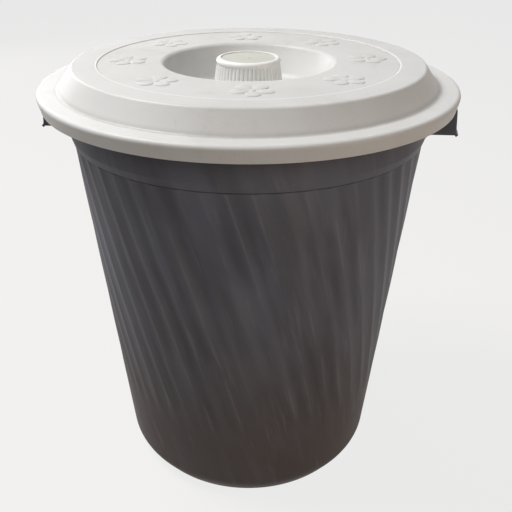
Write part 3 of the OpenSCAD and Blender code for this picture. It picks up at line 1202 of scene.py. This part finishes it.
WHITE = (1, 1, 1, 1)
FLOOR_R = 9.0
FLOOR_SIDES = 96
FLOOR_COLOUR = (0.42, 0.38, 0.34, 1)
# How much of the floor's look in the camera is the white backdrop.
FLOOR_GLOW = 0.8
SKY_COLOUR = (0.97, 0.98, 1, 1)
SKY_STRENGTH = 0.06
CAMERA_PLACE = (0.0579, -0.7531, 0.6585)
CAMERA_PITCH = math.radians(28.28)
CAMERA_LENS = 47.87
CAMERA_SHIFT = 0.0148
# Name, place, size, power and colour of each lamp.
LAMPS = [
    ("key", (-1.1, 0.12, 2.15), 0.9, 47, (1, 1, 1)),
    ("front", (0.25, -2.0, 1.8), 1.2, 12, (1, 1, 1)),
    ("right", (1.9, -1.3, 0.5), 1.4, 12, (1, 0.77, 0.58)),
    ("back", (-1.7, 2.0, 1.0), 1.2, 14, (1, 1, 1)),
]
LAMP_TARGET = (0, 0, 0.3)


def seen_ray(plan):
    """1 on rays that look at the backdrop: camera, glossy and transmission rays."""
    path = plan.node("ShaderNodeLightPath")
    total = path.out("Is Camera Ray") + path.out("Is Glossy Ray") + path.out("Is Transmission Ray")
    return plan.math("MINIMUM", total, 1)


def studio_floor():
    """A plain pale floor that keeps the bin's shadow."""
    material = bpy.data.materials.new("studio_floor")
    material.use_nodes = True
    plan = Plan(material.node_tree)
    matt = plan.node("ShaderNodeBsdfDiffuse", inputs={"Color": FLOOR_COLOUR})
    glow = plan.node("ShaderNodeEmission", inputs={"Color": WHITE, "Strength": 1.0})
    share = seen_ray(plan) * FLOOR_GLOW
    look = plan.node("ShaderNodeMixShader", inputs={0: share, 1: matt, 2: glow})
    plan.node("ShaderNodeOutputMaterial", inputs={"Surface": look})
    mesh = bpy.data.meshes.new("studio_floor")
    corners = [2 * math.pi * i / FLOOR_SIDES for i in range(FLOOR_SIDES)]
    rim = [(FLOOR_R * math.cos(a), FLOOR_R * math.sin(a), 0) for a in corners]
    mesh.from_pydata(rim, [], [tuple(range(FLOOR_SIDES))])
    mesh.materials.append(material)
    floor = bpy.data.objects.new("studio_floor", mesh)
    bpy.context.scene.collection.objects.link(floor)


def studio_world():
    """Soft light from all round, and a white backdrop for what looks at it."""
    world = bpy.data.worlds.new("studio")
    bpy.context.scene.world = world
    world.use_nodes = True
    plan = Plan(world.node_tree)
    sky = {"Color": SKY_COLOUR, "Strength": SKY_STRENGTH}
    soft = plan.node("ShaderNodeBackground", inputs=sky)
    white = plan.node("ShaderNodeBackground", inputs={"Color": WHITE, "Strength": 1.0})
    look = plan.node("ShaderNodeMixShader", inputs={0: seen_ray(plan), 1: soft, 2: white})
    plan.node("ShaderNodeOutputWorld", inputs={"Surface": look})


def lamp(name, place, size, power, colour):
    """A square soft light aimed at the bin."""
    light = bpy.data.lights.new(name, "AREA")
    light.shape = "SQUARE"
    light.size = size
    light.energy = power
    light.color = colour
    obj = bpy.data.objects.new(name, light)
    obj.location = place
    aim = Vector(LAMP_TARGET) - Vector(place)
    obj.rotation_euler = aim.to_track_quat("-Z", "Y").to_euler()
    bpy.context.scene.collection.objects.link(obj)


def studio_camera():
    """The photograph's camera: a little above the lid, looking down at the bin's front."""
    data = bpy.data.cameras.new("camera")
    data.sensor_width = 36
    data.lens = CAMERA_LENS
    data.shift_x = CAMERA_SHIFT
    data.clip_start = 0.01
    camera = bpy.data.objects.new("camera", data)
    flat = Vector((-CAMERA_PLACE[0], -CAMERA_PLACE[1], 0)).normalized()
    gaze = flat * math.cos(CAMERA_PITCH) - Vector((0, 0, math.sin(CAMERA_PITCH)))
    camera.location = CAMERA_PLACE
    camera.rotation_euler = gaze.to_track_quat("-Z", "Y").to_euler()
    bpy.context.scene.collection.objects.link(camera)
    bpy.context.scene.camera = camera


def build():
    """Sets up the studio, then makes the materials and the pieces that wear them."""
    studio_camera()
    studio_world()
    studio_floor()
    for settings in LAMPS:
        lamp(*settings)

    dark = bin_plastic()
    pale = pale_plastic(
        "lid_plastic",
        LID_GREY,
        DARKER_LID_GREY,
        roughness=0.36,
        dirt=0.25,
        painted_shade=lid_painted_shade,
        painted_light=lid_painted_light,
    )
    white = pale_plastic(
        "knob_plastic",
        KNOB_WHITE,
        DARKER_KNOB_WHITE,
        roughness=0.34,
        dirt=0.12,
        painted_shade=knob_painted_shade,
    )
    cream = pale_plastic(
        "cap_plastic", DISC_CREAM, DARKER_DISC_CREAM, roughness=0.38, dirt=0.2
    )
    steel = zinc_steel()

    relief = relief_tree()
    bin_shell(dark, relief)
    pocket_grips(dark)
    lid_shell(pale)
    lid_flowers(pale)
    knob_shell(white, relief)
    knob_disc(cream)
    screw_and_washer(steel)


build()
bpy.context.scene.view_settings.view_transform = "Standard"
